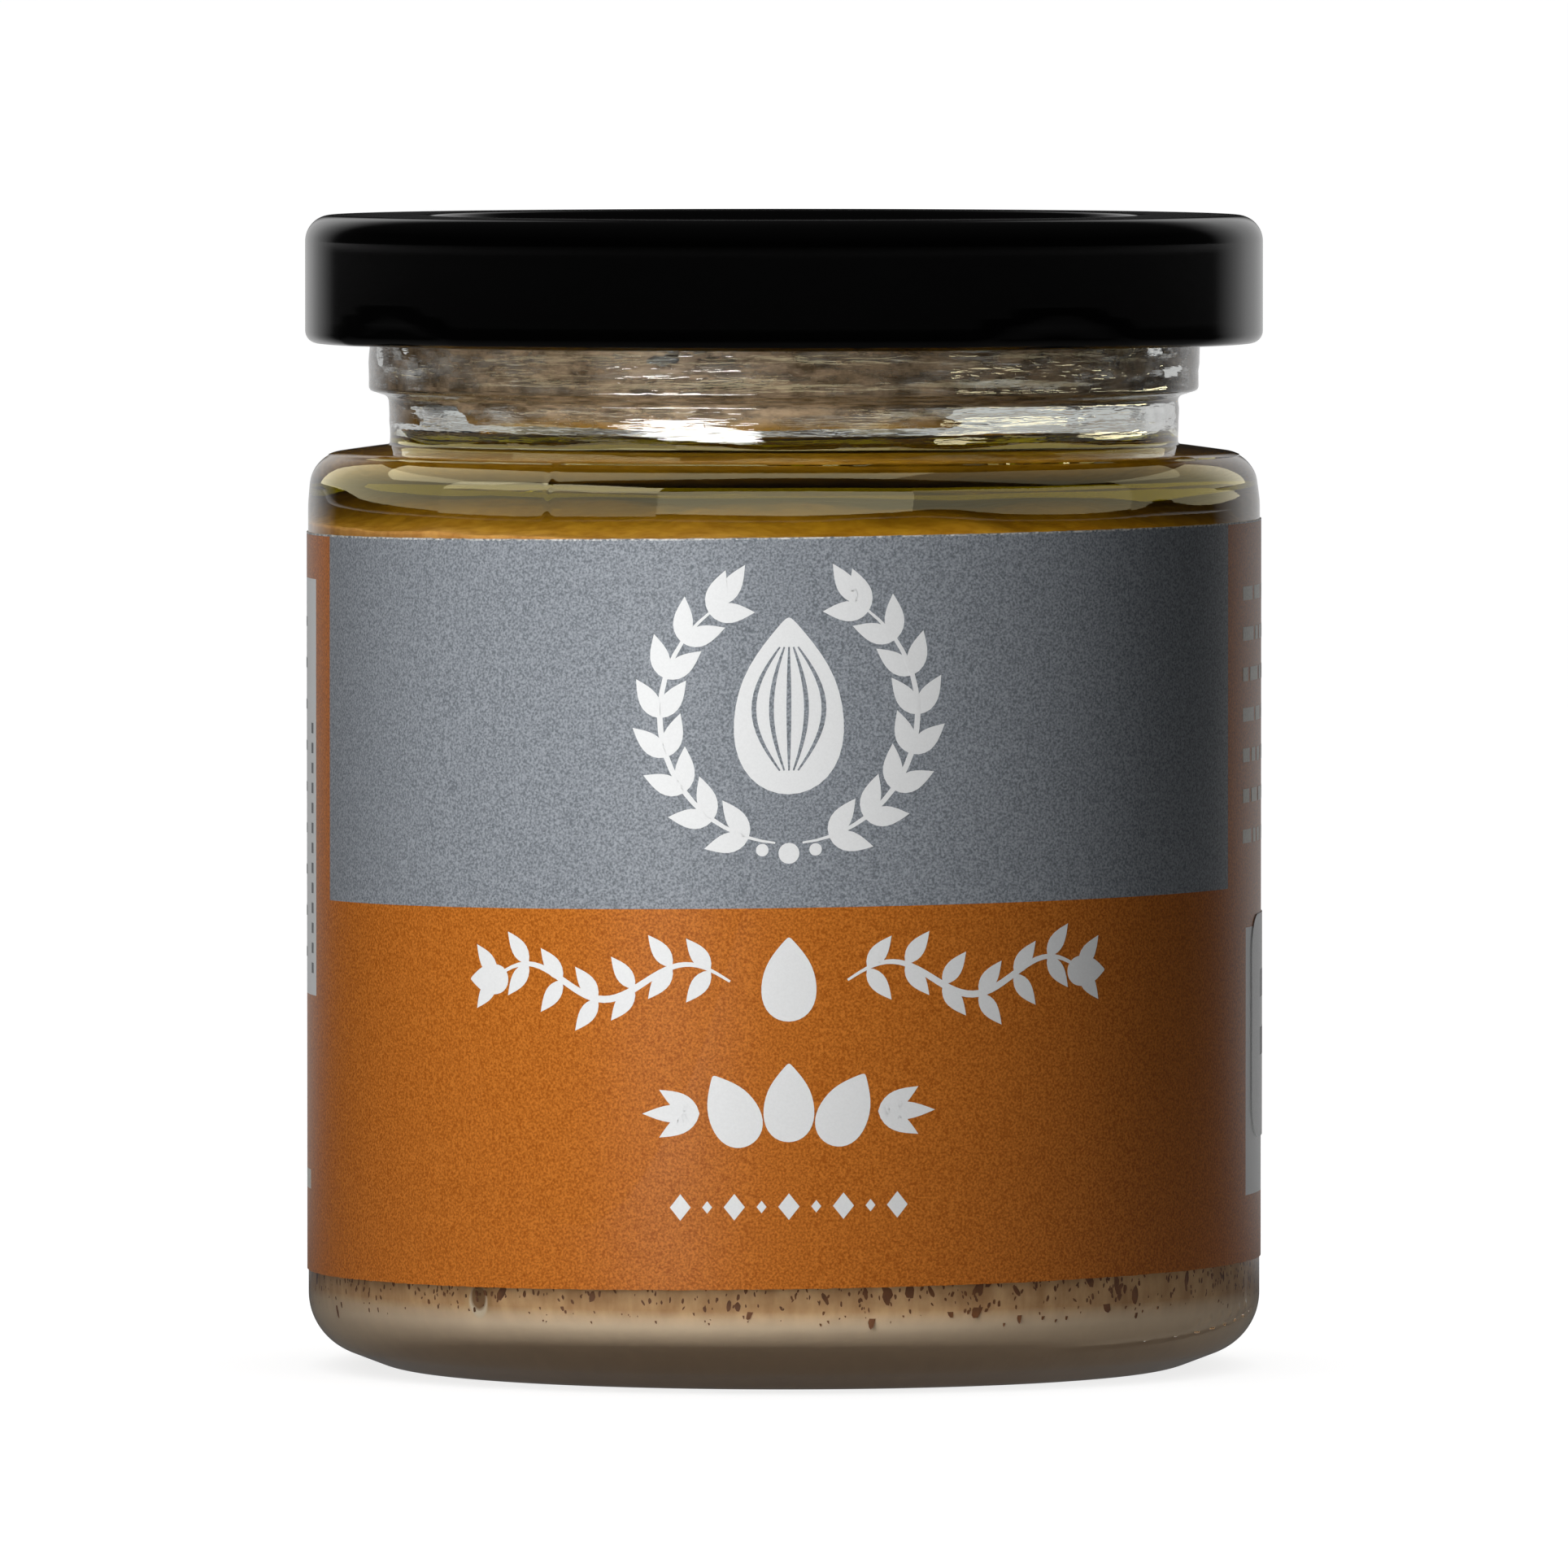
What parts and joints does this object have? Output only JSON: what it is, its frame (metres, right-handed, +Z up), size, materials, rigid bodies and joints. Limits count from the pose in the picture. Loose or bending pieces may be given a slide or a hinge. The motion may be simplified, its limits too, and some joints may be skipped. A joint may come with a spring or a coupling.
{
  "type": "jar of almond butter",
  "caption": "Squat round glass jar with a wide twist-off metal lid and a wrap-round paper label, holding crunchy almond butter under a layer of its own oil.",
  "frame": {"origin": "middle of the foot, on the surface that the jar stands on", "axes": "+Z up the axis of the jar to the lid; the front of the label faces -Y"},
  "size_m": [0.0696, 0.0696, 0.0837],
  "materials": {
    "flint_glass": "clear, fire-polished",
    "black_lacquer": "gloss black lacquer",
    "sealing_compound": "soft, matte",
    "almond_butter": "thick paste with brown skin specks",
    "almond_oil": "clear amber oil",
    "label_paper": "satin coated, printed orange and grey",
    "sticker_paper": "matte white"
  },
  "bodies": {
    "root": {"glass_jar": "flint_glass", "lid": "black_lacquer", "lid_seal": "sealing_compound", "almond_butter": "almond_butter", "oil_layer": "almond_oil", "label": "label_paper", "date_sticker": "sticker_paper"}
  },
  "joints": []
}
